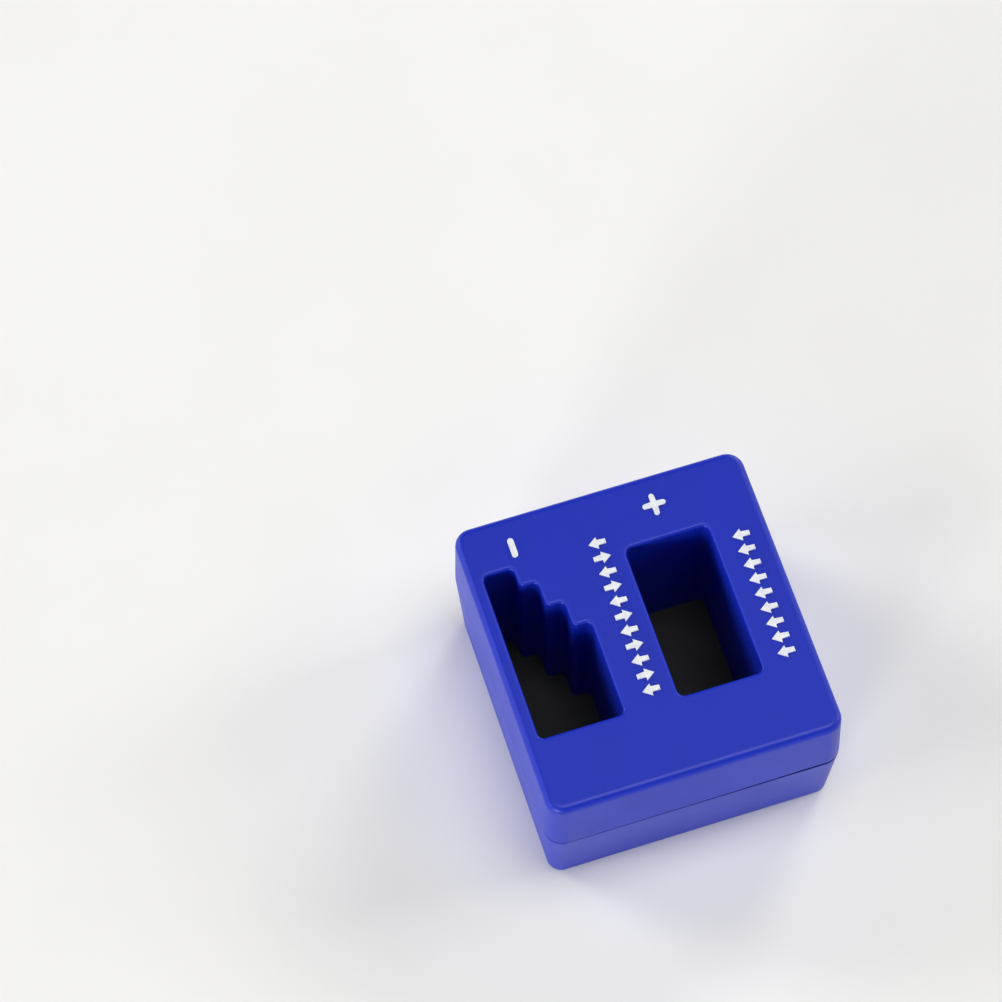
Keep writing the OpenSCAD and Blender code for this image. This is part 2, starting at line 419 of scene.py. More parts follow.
@dataclass(frozen=True)
class TableTop(Finish):
    """Pale smooth table top."""

    base: Colour = (0.925, 0.918, 0.893, 1.0)
    cloud: Colour = (0.905, 0.898, 0.875, 1.0)

    def sockets(self, graph: Graph) -> dict[str | int, Any]:
        """Wires the shader's inputs.

        Args:
            graph: The material's node tree.

        Returns:
            A number or a link for each input.
        """
        cloud = graph.noise(40 * MM, detail=3.0, rough=0.5, seed=1.0)
        fine = graph.noise(0.6 * MM, detail=2.0, rough=0.5, seed=2.0)
        return {
            "Base Color": graph.blend(graph.ramp(cloud, 0.3, 0.7), self.base, self.cloud),
            "Roughness": 0.62 + 0.1 * (fine - 0.5),
            "Normal": graph.bump(fine, 0.01 * MM),
            "Specular IOR Level": 0.3,
        }


# ---------------------------------------------------------------------------------------------------------
# Outlines and meshes
# ---------------------------------------------------------------------------------------------------------


@dataclass
class Outline:
    """Closed outline in plan with square turns, each rounded, that can grow and shrink about its arcs."""

    corners: list[tuple[float, float]]
    radius: float
    arc_steps: int = 10
    spacing: float = 1.5 * MM
    side_pieces: int | None = None
    base: list[Vector] = field(default_factory=list)
    out: list[Vector] = field(default_factory=list)

    def __post_init__(self) -> None:
        """Works out the points of the outline and the directions in which they grow."""
        count = len(self.corners)
        points = [Vector(c) for c in self.corners]
        stops: list[tuple[Vector, Vector]] = []
        for i, corner in enumerate(points):
            before = (corner - points[i - 1]).normalized()
            after = (points[(i + 1) % count] - corner).normalized()
            out_before = Vector((before.y, -before.x))
            out_after = Vector((after.y, -after.x))
            side = 1.0 if before.cross(after) > 0 else -1.0
            centre = corner - side * self.radius * (out_before + out_after)
            turn = side * math.pi / 2
            start = out_before * side
            for k in range(self.arc_steps + 1):
                angle = turn * k / self.arc_steps
                spoke = Matrix.Rotation(angle, 2) @ start
                stops.append((centre + spoke * self.radius, spoke * side))
        for i, (place, direction) in enumerate(stops):
            self.base.append(place)
            self.out.append(direction)
            following, next_direction = stops[(i + 1) % len(stops)]
            gap = (following - place).length
            if (direction - next_direction).length < 1e-6 and gap > self.spacing:
                pieces = self.side_pieces or math.ceil(gap / self.spacing)
                for k in range(1, pieces):
                    self.base.append(place.lerp(following, k / pieces))
                    self.out.append(direction.copy())

    def ring(self, grow: float | Sequence[float], height: float | Sequence[float]) -> list[Vector]:
        """The outline as points in space.

        Args:
            grow: Distance to grow outwards, one number or one for each point.
            height: Height of the ring, one number or one for each point.

        Returns:
            The points, in order round the outline.
        """
        count = len(self.base)
        grows = grow if isinstance(grow, Sequence) else [grow] * count
        heights = height if isinstance(height, Sequence) else [height] * count
        return [
            Vector((b.x + o.x * g, b.y + o.y * g, h))
            for b, o, g, h in zip(self.base, self.out, grows, heights)
        ]


def rectangle(x0: float, x1: float, y0: float, y1: float) -> list[tuple[float, float]]:
    """Corners of a rectangle, anticlockwise from the front left."""
    return [(x0, y0), (x1, y0), (x1, y1), (x0, y1)]


@dataclass
class MeshMaker:
    """Builds one closed mesh from rings of points and flat caps."""

    name: str
    bm: bmesh.types.BMesh = field(default_factory=bmesh.new)
    edge_layer: bmesh.types.BMLayerItem | None = None
    painted_shade_layer: bmesh.types.BMLayerItem | None = None

    def __post_init__(self) -> None:
        """Adds the layers that say how near a point is to a rounded edge and how much painted shade it gets
        in a groove.
        """
        self.bm.verts.layers.float.new(EDGE_ATTRIBUTE)
        self.bm.verts.layers.float.new(PAINTED_SHADE_ATTRIBUTE)
        self.edge_layer = self.bm.verts.layers.float[EDGE_ATTRIBUTE]
        self.painted_shade_layer = self.bm.verts.layers.float[PAINTED_SHADE_ATTRIBUTE]

    def ring(
        self, points: Sequence[Vector], edge: float = 0.0, painted_shade: float = 0.0
    ) -> list[bmesh.types.BMVert]:
        """Adds the points of one ring.

        Args:
            points: The points, in order.
            edge: How far these points are part of a rounded edge, from 0 to 1.
            painted_shade: How far these points lie in a groove and take its painted shade, from 0 to 1.

        Returns:
            The new vertices.
        """
        made = [self.bm.verts.new(p) for p in points]
        for vertex in made:
            vertex[self.edge_layer] = edge
            vertex[self.painted_shade_layer] = painted_shade
        return made

    def loft(self, rings: Sequence[list[bmesh.types.BMVert]], inwards: bool = False) -> None:
        """Joins rings that have as many points as each other.

        Args:
            rings: The rings, from the first to the last.
            inwards: True where the faces look towards the middle of the rings.
        """
        for lower, upper in zip(rings, rings[1:]):
            for i in range(len(lower)):
                j = (i + 1) % len(lower)
                quad = [lower[i], lower[j], upper[j], upper[i]]
                self.bm.faces.new(quad[::-1] if inwards else quad)

    def cap(
        self, outer: list[bmesh.types.BMVert], holes: Sequence[list[bmesh.types.BMVert]], up: bool
    ) -> None:
        """Fills a flat face with holes.

        Args:
            outer: The outer ring.
            holes: The rings of the holes.
            up: True where the face looks up.
        """
        loops = [outer, *holes]
        flat = [vertex for loop in loops for vertex in loop]
        for triple in tessellate_polygon([[v.co for v in loop] for loop in loops]):
            corners = [flat[i] for i in triple]
            a, b, c = (v.co for v in corners)
            if ((b - a).cross(c - a).z > 0) != up:
                corners.reverse()
            self.bm.faces.new(corners)

    def finish(self, smooth: bool = True) -> bpy.types.Object:
        """Makes the object.

        Args:
            smooth: True where faces are shaded smoothly across gentle edges.

        Returns:
            The new object, linked to the scene.
        """
        mesh = bpy.data.meshes.new(self.name)
        self.bm.normal_update()
        self.bm.to_mesh(mesh)
        self.bm.free()
        made = bpy.data.objects.new(self.name, mesh)
        bpy.context.scene.collection.objects.link(made)
        if smooth:
            mesh.shade_smooth()
        return made


def weight_normals(piece: bpy.types.Object, sharp_degrees: float = 40.0) -> None:
    """Keeps flat faces flat beside small rounded edges, and hard edges hard.

    Args:
        piece: The object.
        sharp_degrees: Edges that turn by more than this stay hard.
    """
    piece.data.set_sharp_from_angle(angle=math.radians(sharp_degrees))
    modifier = piece.modifiers.new("normals", "WEIGHTED_NORMAL")
    modifier.keep_sharp = True
    modifier.weight = 50
    apply_modifiers(piece)


def apply_modifiers(piece: bpy.types.Object) -> None:
    """Turns an object's modifiers into plain mesh.

    Args:
        piece: The object.
    """
    graph = bpy.context.evaluated_depsgraph_get()
    made = bpy.data.meshes.new_from_object(piece.evaluated_get(graph))
    old = piece.data
    piece.modifiers.clear()
    piece.data = made
    bpy.data.meshes.remove(old)
    made.name = piece.name


def dress(piece: bpy.types.Object, material: bpy.types.Material, slot: Slot, *nodes: str) -> None:
    """Gives a piece its material and its place in the frame.

    Args:
        piece: The object.
        material: Its material.
        slot: The record's slot that the material belongs to. Not used.
        nodes: Names of the frame's nodes that the piece stands for.
    """
    piece.data.materials.clear()
    piece.data.materials.append(material)
    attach(piece, "root")
    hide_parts(*nodes)
    LOG.info("%s: %d faces", piece.name, len(piece.data.polygons))


# ---------------------------------------------------------------------------------------------------------
# The block
# ---------------------------------------------------------------------------------------------------------


@dataclass
class BlockPlan:
    """Sizes that the shells, the pad and the marks share, worked out from the frame."""

    half_w: float
    half_d: float
    height: float
    parting: float
    corner_r: float = 3.2 * MM
    base_corner_r: float = 2.4 * MM
    top_edge_r: float = 1.2 * MM
    upper_draft: float = math.radians(1.5)
    front_lean: float = math.radians(6.5)
    side_lean: float = math.radians(3.0)
    side_pieces: int = 34
    well_w: float = 14 * MM
    well_l: float = 27 * MM
    well_side_wall: float = 9.5 * MM
    front_wall: float = 13.2 * MM
    well_corner_r: float = 1.2 * MM
    slot_w: float = 14 * MM
    slot_l: float = 29.4 * MM
    web_w: float = 9.05 * MM
    slot_steps: int = 4
    step_w: float = 2.95 * MM
    first_step_l: float = 3.5 * MM
    step_l: float = 4.6 * MM
    step_r: float = 1.0 * MM
    mouth_r: float = 0.5 * MM

    @classmethod
    def from_frame(cls) -> "BlockPlan":
        """Reads the outer sizes from the upper shell.

        Returns:
            The plan.
        """
        low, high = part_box("upper_shell")
        return cls(half_w=high.x, half_d=high.y, height=high.z, parting=low.z)

    def lower(self, z: float, inset: float = 0.0) -> Outline:
        """Outline of the lower shell at a height.

        Args:
            z: The height.
            inset: Distance to move inwards.

        Returns:
            The outline.
        """
        x = self.half_w - inset - (self.parting - z) * math.tan(self.side_lean)
        y = self.half_d - inset - (self.parting - z) * math.tan(self.front_lean)
        radius = self.base_corner_r + (self.corner_r - self.base_corner_r) * min(1.0, z / self.parting)
        return Outline(rectangle(-x, x, -y, y), radius, side_pieces=self.side_pieces)

    def upper_grow(self, z: float) -> float:
        """How far the upper shell's outline has grown at a height, which is a negative number."""
        return -(z - self.parting) * math.tan(self.upper_draft)

    def well(self) -> Outline:
        """Outline of the magnetizing well.

        Returns:
            The outline.
        """
        x1 = self.half_w - self.well_side_wall
        y0 = self.front_wall - self.half_d
        return Outline(rectangle(x1 - self.well_w, x1, y0, y0 + self.well_l), self.well_corner_r)

    def slot_right(self) -> float:
        """The slot's widest edge, beside the centre magnet."""
        return self.half_w - self.well_side_wall - self.well_w - self.web_w

    def slot(self) -> Outline:
        """Outline of the demagnetizing slot, with its steps.

        Returns:
            The outline.
        """
        x1, y0 = self.slot_right(), self.front_wall - self.half_d
        x0, y1 = x1 - self.slot_w, y0 + self.slot_l
        corners = [(x0, y0), (x1, y0)]
        for i in range(self.slot_steps - 1):
            back = y1 - self.first_step_l - (self.slot_steps - 2 - i) * self.step_l
            corners.append((x1 - i * self.step_w, back))
            corners.append((x1 - (i + 1) * self.step_w, back))
        corners.append((x1 - (self.slot_steps - 1) * self.step_w, y1))
        corners.append((x0, y1))
        return Outline(corners, self.step_r, arc_steps=8)


def uneven(outline: Outline, least: float, most: float, seed: float) -> list[float]:
    """Half the parting groove's width at each point, which opens towards +X.

    Args:
        outline: The block's outline.
        least: The smallest size.
        most: The largest size.
        seed: A number that makes another pattern.

    Returns:
        One size for each point.
    """
    reach = max(p.x for p in outline.base)
    sizes = []
    for p in outline.base:
        drift = 0.5 + 0.5 * p.x / reach
        ripple = noise.noise(Vector((p.x / RIPPLE_LENGTH, p.y / RIPPLE_LENGTH, seed)))
        share = min(1.0, max(0.0, drift * drift + RIPPLE_SHARE * ripple))
        sizes.append(least + (most - least) * share)
    return sizes


@dataclass
class Interior:
    """What the shells hold between their walls: the cavities, bosses, pins and ribs."""

    plan: BlockPlan
    wall: float = 1.6 * MM
    tube_wall: float = 1.5 * MM
    roof: float = 2.0 * MM
    floor: float = 2.6 * MM
    boss_r: float = 2.2 * MM
    boss_inset: float = 4.85 * MM
    pin_r: float = 1.2 * MM
    pin_h: float = 5.0 * MM
    socket_gap: float = 0.02 * MM
    fit_gap: float = 0.05 * MM
    rib_t: float = 1.2 * MM
    rib_drop: float = 2.0 * MM
    past: float = 1.0 * MM
    round_steps: int = 32

    def box(self, maker: MeshMaker, low: Sequence[float], high: Sequence[float]) -> None:
        """Adds a closed box between two corners."""
        outline = [Vector((x, y)) for x, y in rectangle(low[0], high[0], low[1], high[1])]
        self.prism(maker, outline, low[2], high[2])

    def prism(self, maker: MeshMaker, outline: Sequence[Vector], z0: float, z1: float) -> None:
        """Adds a closed upright prism.

        Args:
            maker: The mesh that it belongs to.
            outline: Its outline in plan, anticlockwise.
            z0: Height of its lower end.
            z1: Height of its upper end.
        """
        foot = maker.ring([Vector((p.x, p.y, z0)) for p in outline])
        top = maker.ring([Vector((p.x, p.y, z1)) for p in outline])
        maker.loft([foot, top])
        maker.bm.faces.new(foot[::-1])
        maker.bm.faces.new(top)

    def posts(self, maker: MeshMaker, radius: float, z0: float, z1: float) -> None:
        """Adds one round post at each corner of the block.

        Args:
            maker: The mesh that they belong to.
            radius: Their radius.
            z0: Height of their lower ends.
            z1: Height of their upper ends.
        """
        x, y = self.plan.half_w - self.boss_inset, self.plan.half_d - self.boss_inset
        for middle in (Vector(c) for c in rectangle(-x, x, -y, y)):
            angles = [2 * math.pi * k / self.round_steps for k in range(self.round_steps)]
            outline = [middle + Vector((math.cos(a), math.sin(a))) * radius for a in angles]
            self.prism(maker, outline, z0, z1)

    def walls(self, maker: MeshMaker, z0: float, z1: float) -> None:
        """Adds solid blocks that leave a wall round both openings when the cavity is cut.

        Args:
            maker: The mesh that they belong to.
            z0: Height of their lower ends.
            z1: Height of their upper ends.
        """
        plan, t = self.plan, self.tube_wall
        well = plan.well().corners
        self.box(maker, (well[0][0] - t, well[0][1] - t, z0), (well[2][0] + t, well[2][1] + t, z1))
        slot = plan.slot().corners
        left = -plan.half_w - self.past
        for i in range(plan.slot_steps):
            x, y = slot[1 + 2 * i][0], slot[2 + 2 * i][1]
            self.box(maker, (left, slot[0][1] - t, z0), (x + t, y + t, z1))

    def ribs(
        self,
        maker: MeshMaker,
        node: str,
        outer: float,
        z: tuple[float, float],
        bearing: tuple[float, float],
    ) -> None:
        """Adds one magnet's ribs.

        Args:
            maker: The mesh that they belong to.
            node: Name of the magnet's node in the frame.
            outer: The far end of the ribs that reach to a wall.
            z: Lowest and highest point of the ribs that locate the magnet.
            bearing: Lowest and highest point of the ribs that it bears on.
        """
        low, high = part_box(node)
        middle, half = (low.y + high.y) / 2, (high.y - low.y) / 2
        near = low.x - self.fit_gap if outer < low.x else high.x + self.fit_gap
        x0, x1 = low.x - self.past, high.x + self.past
        for side in (-1, 1):
            y = middle + side * (half + self.fit_gap + self.rib_t / 2)
            y0, y1 = y - self.rib_t / 2, y + self.rib_t / 2
            self.box(maker, (x0, y0, z[0]), (x1, y1, z[1]))
            y = middle + side * half / 2
            y0, y1 = y - self.rib_t / 2, y + self.rib_t / 2
            self.box(maker, (min(near, outer), y0, z[0]), (max(near, outer), y1, z[1]))
            self.box(maker, (x0, y0, bearing[0]), (x1, y1, bearing[1]))

    def cut(
        self,
        piece: bpy.types.Object,
        tool: bpy.types.Object,
        operation: str = "DIFFERENCE",
        overlaps: bool = True,
    ) -> None:
        """Cuts a tool out of a piece, or joins it on, and uses the tool up.

        Args:
            piece: The object that is changed.
            tool: The object that is cut out or joined on.
            operation: The Boolean modifier's operation.
            overlaps: True where the tool's own parts overlap each other.
        """
        modifier = piece.modifiers.new("cut", "BOOLEAN")
        modifier.operation = operation
        modifier.solver = "EXACT"
        modifier.use_self = overlaps
        modifier.object = tool
        apply_modifiers(piece)
        bpy.data.objects.remove(tool)

    def hollow(
        self,
        piece: bpy.types.Object,
        low: Outline,
        high: Outline,
        z: tuple[float, float],
        fill: MeshMaker,
    ) -> None:
        """Cuts a shell's cavity, leaving the solids inside it that the shell keeps.

        Args:
            piece: The shell.
            low: The cavity's outline at its lower end.
            high: The cavity's outline at its upper end.
            z: Heights of the cavity's two ends.
            fill: The solids that are kept.
        """
        maker = MeshMaker("cavity")
        rings = [maker.ring(outline.ring(0.0, height)) for outline, height in zip((low, high), z)]
        maker.loft(rings)
        maker.bm.faces.new(rings[0][::-1])
        maker.bm.faces.new(rings[1])
        cavity = maker.finish(smooth=False)
        self.cut(cavity, fill.finish(smooth=False))
        self.cut(piece, cavity, overlaps=False)

    def upper(self, piece: bpy.types.Object) -> None:
        """Hollows the upper shell and cuts its sockets.

        Args:
            piece: The shell.
        """
        plan = self.plan
        foot, roof = plan.parting - self.past, plan.height - self.roof
        inside = plan.lower(plan.parting, self.wall)
        fill = MeshMaker("upper_fill")
        self.walls(fill, foot - self.past, plan.height)
        self.posts(fill, self.boss_r, foot - self.past, plan.height)
        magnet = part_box("centre_magnet")[1].z + self.fit_gap
        z, bearing = (plan.parting + self.rib_drop, plan.height), (magnet, plan.height)
        self.ribs(fill, "centre_magnet", plan.slot_right(), z, bearing)
        self.ribs(fill, "outer_magnet", plan.half_w, z, bearing)
        self.hollow(piece, inside, inside, (foot, roof), fill)
        sockets = MeshMaker("sockets")
        self.posts(sockets, self.pin_r + self.socket_gap, foot, plan.parting + self.pin_h + self.past / 2)
        self.cut(piece, sockets.finish(smooth=False))

    def lower(self, piece: bpy.types.Object) -> None:
        """Hollows the lower shell and adds its pins.

        Args:
            piece: The shell.
        """
        plan = self.plan
        top = plan.parting + self.past
        fill = MeshMaker("lower_fill")
        self.walls(fill, 0.0, top + self.past)
        self.posts(fill, self.boss_r, 0.0, top + self.past)
        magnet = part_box("centre_magnet")[0].z - self.fit_gap
        z, bearing = (0.0, top + self.past), (0.0, magnet)
        self.ribs(fill, "centre_magnet", plan.slot_right(), z, bearing)
        self.ribs(fill, "outer_magnet", plan.half_w, z, bearing)
        low, high = plan.lower(self.floor, self.wall), plan.lower(top, self.wall)
        self.hollow(piece, low, high, (self.floor, top), fill)
        pins = MeshMaker("pins")
        self.posts(pins, self.pin_r, plan.parting - self.past, plan.parting + self.pin_h)
        self.cut(piece, pins.finish(smooth=False), "UNION")


@dataclass
class Shells:
    """The two moulded half shells."""

    plan: BlockPlan
    material: bpy.types.Material
    fillet_steps: int = 8
    groove_least: float = 0.08 * MM
    groove_most: float = 0.38 * MM
    groove_depth: float = 0.6 * MM
    groove_lip: float = 0.05 * MM
    groove_turn: float = 0.3
    # Share of the groove's painted shade on its turned rim.
    turn_painted_shade: float = 0.6
    mouth_land: float = 1.5
    edge_land: float = 1.1
    base_bevel: float = 0.3 * MM
    pad_t: float = 1.0 * MM
    pad_rim: float = 1.0 * MM

    def arc(self) -> list[float]:
        """Angles from 0 to a right angle, for a rounded edge."""
        return [math.pi / 2 * k / self.fillet_steps for k in range(self.fillet_steps + 1)]

    def mouth(self, maker: MeshMaker, outline: Outline, foot: float) -> tuple[list, list]:
        """Builds the wall of an opening, with its rounded mouth.

        Args:
            maker: The mesh that the wall belongs to.
            outline: The opening's outline.
            foot: Height of the wall's lower end.

        Returns:
            The ring at the wall's lower end and the ring at the top face.
        """
        plan, r = self.plan, self.plan.mouth_r
        rings = [maker.ring(outline.ring(0.0, foot)), maker.ring(outline.ring(0.0, plan.height - 3 * r))]
        # The edge value rises to the rim of the mouth, where the paler colour paints a highlight as well as
        # rubbing.
        for angle in self.arc():
            place = outline.ring(r * (1 - math.cos(angle)), plan.height - r + r * math.sin(angle))
            rings.append(maker.ring(place, math.sin(angle)))
        rings.append(maker.ring(outline.ring(self.mouth_land * r, plan.height)))
        maker.loft(rings, inwards=True)
        return rings[0], rings[-1]

    def groove(self, maker: MeshMaker, side: float, seed: float) -> list[list[bmesh.types.BMVert]]:
        """Builds one half of the parting groove, from its bottom out to the shell's face.

        Args:
            maker: The mesh that it belongs to.
            side: 1 for the upper shell, -1 for the lower one.
            seed: A number that makes another pattern.

        Returns:
            The rings, from the parting line inside the groove to the face.
        """
        plan, lip = self.plan, self.groove_lip
        outline = plan.lower(plan.parting)
        gap = uneven(outline, self.groove_least, self.groove_most, seed)
        heights = [plan.parting + side * g for g in gap]
        lean = plan.upper_draft if side > 0 else plan.front_lean
        outer = [-(g + lip) * math.tan(lean) for g in gap]
        turn = self.groove_turn * lip
        turned = outline.ring([g - turn for g in outer], [h + side * turn for h in heights])
        # The rings inside the groove carry full painted shade and the turned rim part of it, a dark band
        # that stands in for shade in the parting line.
        return [
            maker.ring(outline.ring(-self.groove_depth, plan.parting), painted_shade=1.0),
            maker.ring(outline.ring(-self.groove_depth, heights), painted_shade=1.0),
            maker.ring(outline.ring([g - lip for g in outer], heights), painted_shade=1.0),
            maker.ring(turned, painted_shade=self.turn_painted_shade),
            maker.ring(outline.ring(outer, [h + side * lip for h in heights])),
        ]

    def upper(self) -> bpy.types.Object:
        """Builds the upper half shell.

        Returns:
            The object.
        """
        plan = self.plan
        maker = MeshMaker("upper_half_shell")
        block = plan.lower(plan.parting)
        side_top = plan.height - plan.top_edge_r
        r = plan.top_edge_r
        rings = self.groove(maker, 1.0, 1.0)
        for z in (plan.parting + r, side_top - r):
            rings.append(maker.ring(block.ring(plan.upper_grow(z), z)))
        shrink = plan.upper_grow(side_top)
        # The edge value peaks halfway round the top fillet, where the paler colour paints a highlight as
        # well as rubbing.
        for angle in self.arc():
            place = block.ring(shrink - r * (1 - math.cos(angle)), side_top + r * math.sin(angle))
            rings.append(maker.ring(place, math.sin(2 * angle)))
        rings.append(maker.ring(block.ring(shrink - self.edge_land * r, plan.height)))
        maker.loft(rings)
        openings = [self.mouth(maker, outline, plan.parting) for outline in (plan.well(), plan.slot())]
        maker.cap(rings[-1], [top for _, top in openings], up=True)
        maker.cap(rings[0], [foot for foot, _ in openings], up=False)
        piece = maker.finish()
        Interior(plan).upper(piece)
        weight_normals(piece)
        dress(piece, self.material, Slot.SHELL, "upper_shell")
        return piece

    def lower(self) -> bpy.types.Object:
        """Builds the lower half shell.

        Returns:
            The object.
        """
        plan = self.plan
        maker = MeshMaker("lower_half_shell")
        base = plan.lower(0.0)
        b = self.base_bevel
        rings = [maker.ring(base.ring(-self.pad_rim, z)) for z in (self.pad_t, 0.0)]
        for angle in self.arc():
            place = base.ring(-b * (1 - math.sin(angle)), b * (1 - math.cos(angle)))
            rings.append(maker.ring(place, math.sin(2 * angle)))
        for z in (2 * b, plan.parting - 3 * b):
            rings.append(maker.ring(plan.lower(z).ring(0.0, z)))
        rings += self.groove(maker, -1.0, 2.0)[::-1]
        maker.loft(rings)
        feet, tops = [], []
        for outline in (plan.well(), plan.slot()):
            foot = maker.ring(outline.ring(0.0, self.pad_t))
            top = maker.ring(outline.ring(0.0, plan.parting))
            maker.loft([foot, top], inwards=True)
            feet.append(foot)
            tops.append(top)
        maker.cap(rings[0], feet, up=False)
        maker.cap(rings[-1], tops, up=True)
        piece = maker.finish()
        Interior(plan).lower(piece)
        weight_normals(piece)
        dress(piece, self.material, Slot.SHELL, "lower_shell")
        return piece


@dataclass
class Pad:
    """The dark grey sheet in the underside, which the openings show as their dark floors."""

    material: bpy.types.Material
    corner_r: float = 1.3 * MM
    round_r: float = 0.12 * MM
    steps: int = 4

    def make(self) -> bpy.types.Object:
        """Builds the pad.

        Returns:
            The object.
        """
        low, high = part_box("base_pad")
        outline = Outline(rectangle(low.x, high.x, low.y, high.y), self.corner_r)
        maker = MeshMaker("dark_base_pad")
        r = self.round_r
        angles = [math.pi / 2 * k / self.steps for k in range(self.steps + 1)]
        foot = [(-r * (1 - math.sin(a)), low.z + r * (1 - math.cos(a))) for a in angles]
        top = [(-r * (1 - math.cos(a)), high.z - r + r * math.sin(a)) for a in angles]
        rings = [maker.ring(outline.ring(grow, height)) for grow, height in foot + top]
        maker.loft(rings)
        maker.cap(rings[0], [], up=False)
        maker.cap(rings[-1], [], up=True)
        piece = maker.finish()
        weight_normals(piece)
        dress(piece, self.material, Slot.PAD, "base_pad")
        return piece


@dataclass
class Magnets:
    """The two ferrite bars."""

    material: bpy.types.Material
    chamfer: float = 0.35 * MM

    def make(self, node: str) -> bpy.types.Object:
        """Builds one bar.

        Args:
            node: Name of the frame's node that it stands for.

        Returns:
            The object.
        """
        low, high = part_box(node)
        maker = MeshMaker(f"{node}_bar")
        bmesh.ops.create_cube(maker.bm, size=1.0)
        for vertex in maker.bm.verts:
            vertex.co = (low + high) / 2 + Matrix.Diagonal(high - low) @ vertex.co
        bmesh.ops.bevel(
            maker.bm, geom=maker.bm.edges[:], offset=self.chamfer, segments=2, affect="EDGES", profile=0.6
        )
        for vertex in maker.bm.verts:
            vertex[maker.edge_layer] = 1.0
        piece = maker.finish()
        weight_normals(piece, 30)
        dress(piece, self.material, Slot.FERRITE, node)
        return piece


@dataclass
class Marks:
    """The white raised marks on the top face."""

    plan: BlockPlan
    material: bpy.types.Material
    bevel: float = 0.07 * MM
    arrow_l: float = 2.85 * MM
    arrow_w: float = 2.1 * MM
    head_l: float = 1.45 * MM
    shaft_w: float = 0.85 * MM
    plus_arm_r: float = 0.425 * MM
    round_steps: int = 12

    def raise_shapes(
        self, name: str, node: str, shapes: Sequence[Sequence[tuple[float, float]]]
    ) -> bpy.types.Object:
        """Builds raised marks from their outlines.

        Args:
            name: Name of the piece.
            node: Name of the frame's node that it stands for.
            shapes: Outline of each mark, anticlockwise.

        Returns:
            The object.
        """
        low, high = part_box(node)
        maker = MeshMaker(name)
        bm = maker.bm
        for shape in shapes:
            foot = maker.ring([Vector((x, y, low.z)) for x, y in shape], 1.0)
            top = maker.ring([Vector((x, y, high.z)) for x, y in shape], 1.0)
            maker.loft([foot, top])
            bm.faces.new(foot[::-1])
            bm.faces.new(top)
        rims = [e for e in bm.edges if all(abs(v.co.z - high.z) < 1e-7 for v in e.verts)]
        bmesh.ops.bevel(bm, geom=rims, offset=self.bevel, segments=3, affect="EDGES", profile=0.5)
        piece = maker.finish()
        weight_normals(piece, 35)
        dress(piece, self.material, Slot.MARKS, node)
        return piece

    def arrow(self, x: float, y: float, side: float) -> list[tuple[float, float]]:
        """Outline of one arrow.

        Args:
            x: Place of its middle.
            y: Place of its middle.
            side: 1 to point along -X, -1 to point along +X.

        Returns:
            The outline, anticlockwise.
        """
        tip, neck = -self.arrow_l / 2, self.head_l - self.arrow_l / 2
        half = [(tip, 0.0), (neck, -self.arrow_w / 2), (neck, -self.shaft_w / 2), (-tip, -self.shaft_w / 2)]
        both = half + [(a, -b) for a, b in half[:0:-1]]
        return [(x + side * a, y + side * b) for a, b in both]

    def arrow_row(self, name: str, node: str, count: int, alternate: bool) -> bpy.types.Object:
        """Builds a row of arrows along Y.

        Args:
            name: Name of the piece.
            node: Name of the frame's node that it stands for.
            count: Number of arrows.
            alternate: True where every other arrow points the opposite way.

        Returns:
            The object.
        """
        low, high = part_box(node)
        pitch = (high.y - low.y - self.arrow_w) / (count - 1)
        middle = (low + high) / 2
        shapes = []
        for i in range(count):
            side = -1.0 if alternate and i % 2 else 1.0
            shapes.append(self.arrow(middle.x, middle.y + (i - (count - 1) / 2) * pitch, side))
        return self.raise_shapes(name, node, shapes)

    def bar_end(self, x: float, y: float, r: float, start: float) -> list[tuple[float, float]]:
        """Half circle at the end of a bar, anticlockwise from an angle in quarter turns."""
        angles = [math.pi * (start / 2 + k / self.round_steps) for k in range(self.round_steps + 1)]
        return [(x + r * math.cos(a), y + r * math.sin(a)) for a in angles]

    def plus(self) -> bpy.types.Object:
        """Builds the plus.

        Returns:
            The object.
        """
        low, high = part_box("plus_mark")
        middle, half, r = (low + high) / 2, (high.x - low.x) / 2, self.plus_arm_r
        x, y = middle.x, middle.y
        shape: list[tuple[float, float]] = []
        for turn, (dx, dy) in enumerate([(1, 0), (0, 1), (-1, 0), (0, -1)]):
            reach = half - r
            shape += self.bar_end(x + dx * reach, y + dy * reach, r, turn - 1)
            shape.append((x + r * (dx - dy), y + r * (dy + dx)))
        return self.raise_shapes("plus_symbol", "plus_mark", [shape])

    def minus(self) -> bpy.types.Object:
        """Builds the minus.

        Returns:
            The object.
        """
        low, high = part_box("minus_mark")
        x, r = (low.x + high.x) / 2, (high.x - low.x) / 2
        shape = self.bar_end(x, high.y - r, r, 0) + self.bar_end(x, low.y + r, r, 2)
        return self.raise_shapes("minus_symbol", "minus_mark", [shape])


# ---------------------------------------------------------------------------------------------------------
# Studio
# ---------------------------------------------------------------------------------------------------------


@dataclass(frozen=True)
class Lamp:
    """One wide, distant soft light."""

    name: str
    azimuth: float
    elevation: float
    spread: float
    strength: float
    colour: tuple[float, float, float] = (1.0, 1.0, 1.0)

    def make(self) -> bpy.types.Object:
        """Builds the light.

        Returns:
            The object.
        """
        data = bpy.data.lights.new(self.name, "SUN")
        data.angle = math.radians(self.spread)
        data.energy = self.strength
        data.color = self.colour
        lamp = bpy.data.objects.new(self.name, data)
        bpy.context.scene.collection.objects.link(lamp)
        toward = -direction(self.azimuth, self.elevation)
        lamp.rotation_euler = toward.to_track_quat("-Z", "Y").to_euler()
        return lamp


def direction(azimuth: float, elevation: float) -> Vector:
    """Direction from the block towards a viewer or a light, in degrees. Azimuth 0 is in front."""
    a, e = math.radians(azimuth), math.radians(elevation)
    return Vector((math.sin(a) * math.cos(e), -math.cos(a) * math.cos(e), math.sin(e)))


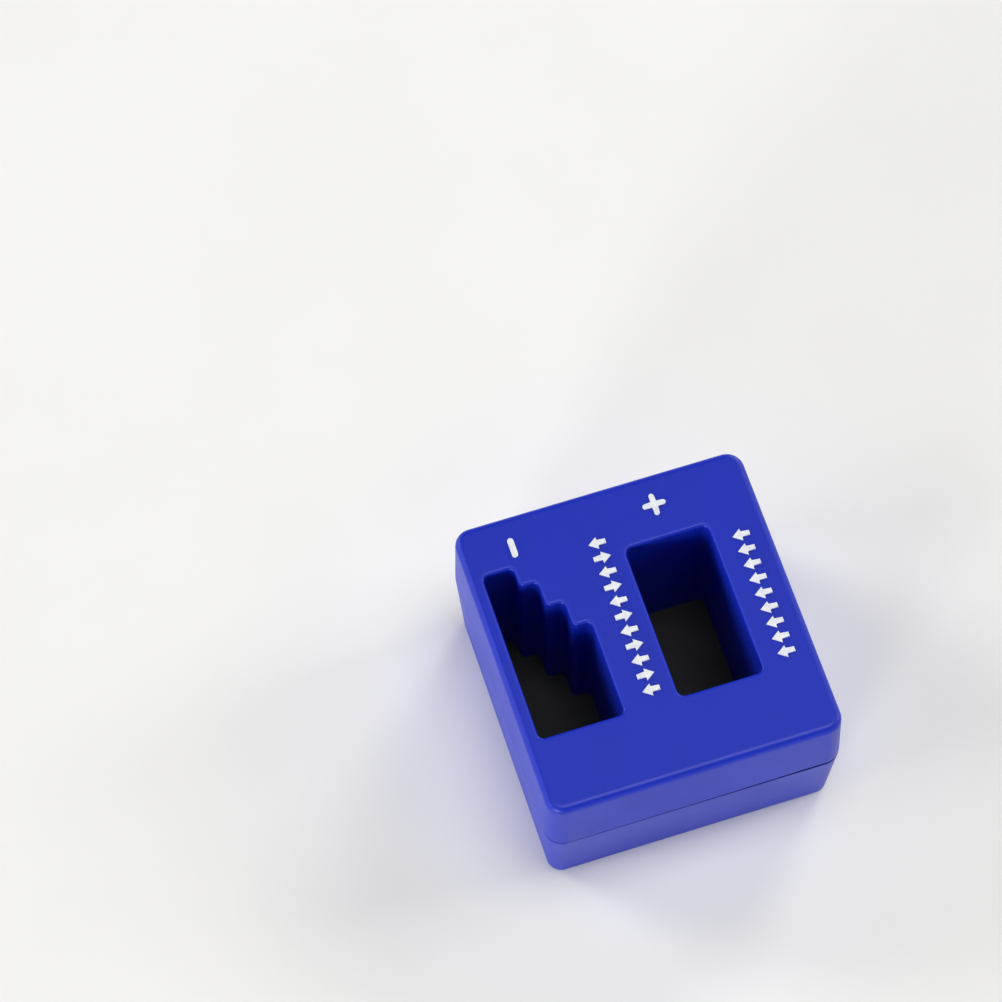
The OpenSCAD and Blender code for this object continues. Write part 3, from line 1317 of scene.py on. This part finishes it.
@dataclass
class Studio:
    """Camera, table and lights."""

    azimuth: float = -15.95
    elevation: float = 63.73
    roll: float = -2.08
    distance: float = 0.65813
    lens: float = 143.7
    aim: Vector = field(default_factory=lambda: Vector((-12.983, 35.370, 14.467)) * MM)
    table_side: float = 8.0
    ambient: float = 0.015
    lamps: Sequence[Lamp] = (
        Lamp("ceiling", 0.0, 89.0, 28.0, 0.66),
        Lamp("ceiling_right", 70.0, 76.0, 28.0, 0.62),
        Lamp("window_right", 90.0, 24.0, 24.0, 0.92),
        Lamp("window_right_back", 135.0, 24.0, 24.0, 1.00),
        Lamp("window_left_back", 225.0, 24.0, 24.0, 1.14),
        Lamp("window_left", 270.0, 24.0, 24.0, 0.69),
        Lamp("window_right_front", 45.0, 24.0, 24.0, 0.21),
        Lamp("low_left_front", 315.0, 8.0, 16.0, 1.71),
        Lamp("low_front", 0.0, 8.0, 16.0, 0.10),
    )

    def camera(self) -> bpy.types.Object:
        """Builds the camera and makes it the scene's.

        Returns:
            The camera.
        """
        data = bpy.data.cameras.new("camera")
        data.lens = self.lens
        data.clip_start, data.clip_end = 0.01, 50.0
        camera = bpy.data.objects.new("camera", data)
        bpy.context.scene.collection.objects.link(camera)
        back = direction(self.azimuth, self.elevation)
        level = (-back).to_track_quat("-Z", "Y").to_matrix().to_4x4()
        turned = level @ Matrix.Rotation(math.radians(self.roll), 4, "Z")
        camera.matrix_world = Matrix.Translation(self.aim + back * self.distance) @ turned
        bpy.context.scene.camera = camera
        return camera

    def table(self, material: bpy.types.Material) -> bpy.types.Object:
        """Builds the table top that the block stands on.

        Args:
            material: Its material.

        Returns:
            The object.
        """
        maker = MeshMaker("table_top")
        half = self.table_side / 2
        bmesh.ops.create_grid(maker.bm, x_segments=8, y_segments=8, size=half)
        table = maker.finish(smooth=False)
        table.data.materials.append(material)
        return table

    def light(self) -> None:
        """Builds the lights and the ambient light."""
        for lamp in self.lamps:
            lamp.make()
        world = bpy.data.worlds.new("room")
        world.use_nodes = True
        background = world.node_tree.nodes["Background"]
        background.inputs["Color"].default_value = (0.95, 0.97, 1.0, 1.0)
        background.inputs["Strength"].default_value = self.ambient
        bpy.context.scene.world = world
        bpy.context.scene.view_settings.view_transform = "Standard"


def main() -> None:
    """Builds the camera, the block and the studio."""
    logging.basicConfig(level=logging.INFO, format="%(name)s: %(message)s")
    studio = Studio()
    studio.camera()
    plan = BlockPlan.from_frame()
    shells = Shells(plan, MouldedPlastic("blue_plastic").make())
    shells.upper()
    shells.lower()
    Pad(DarkSheet("dark_sheet").make()).make()
    magnets = Magnets(Ferrite("ferrite").make())
    magnets.make("centre_magnet")
    magnets.make("outer_magnet")
    marks = Marks(plan, WhitePaint("white_paint").make())
    marks.plus()
    marks.minus()
    marks.arrow_row("aligned_arrows", "well_legend", count=9, alternate=False)
    marks.arrow_row("opposed_arrows", "slot_legend", count=11, alternate=True)
    studio.table(TableTop("table_top").make())
    studio.light()


if __name__ == "__main__":
    main()
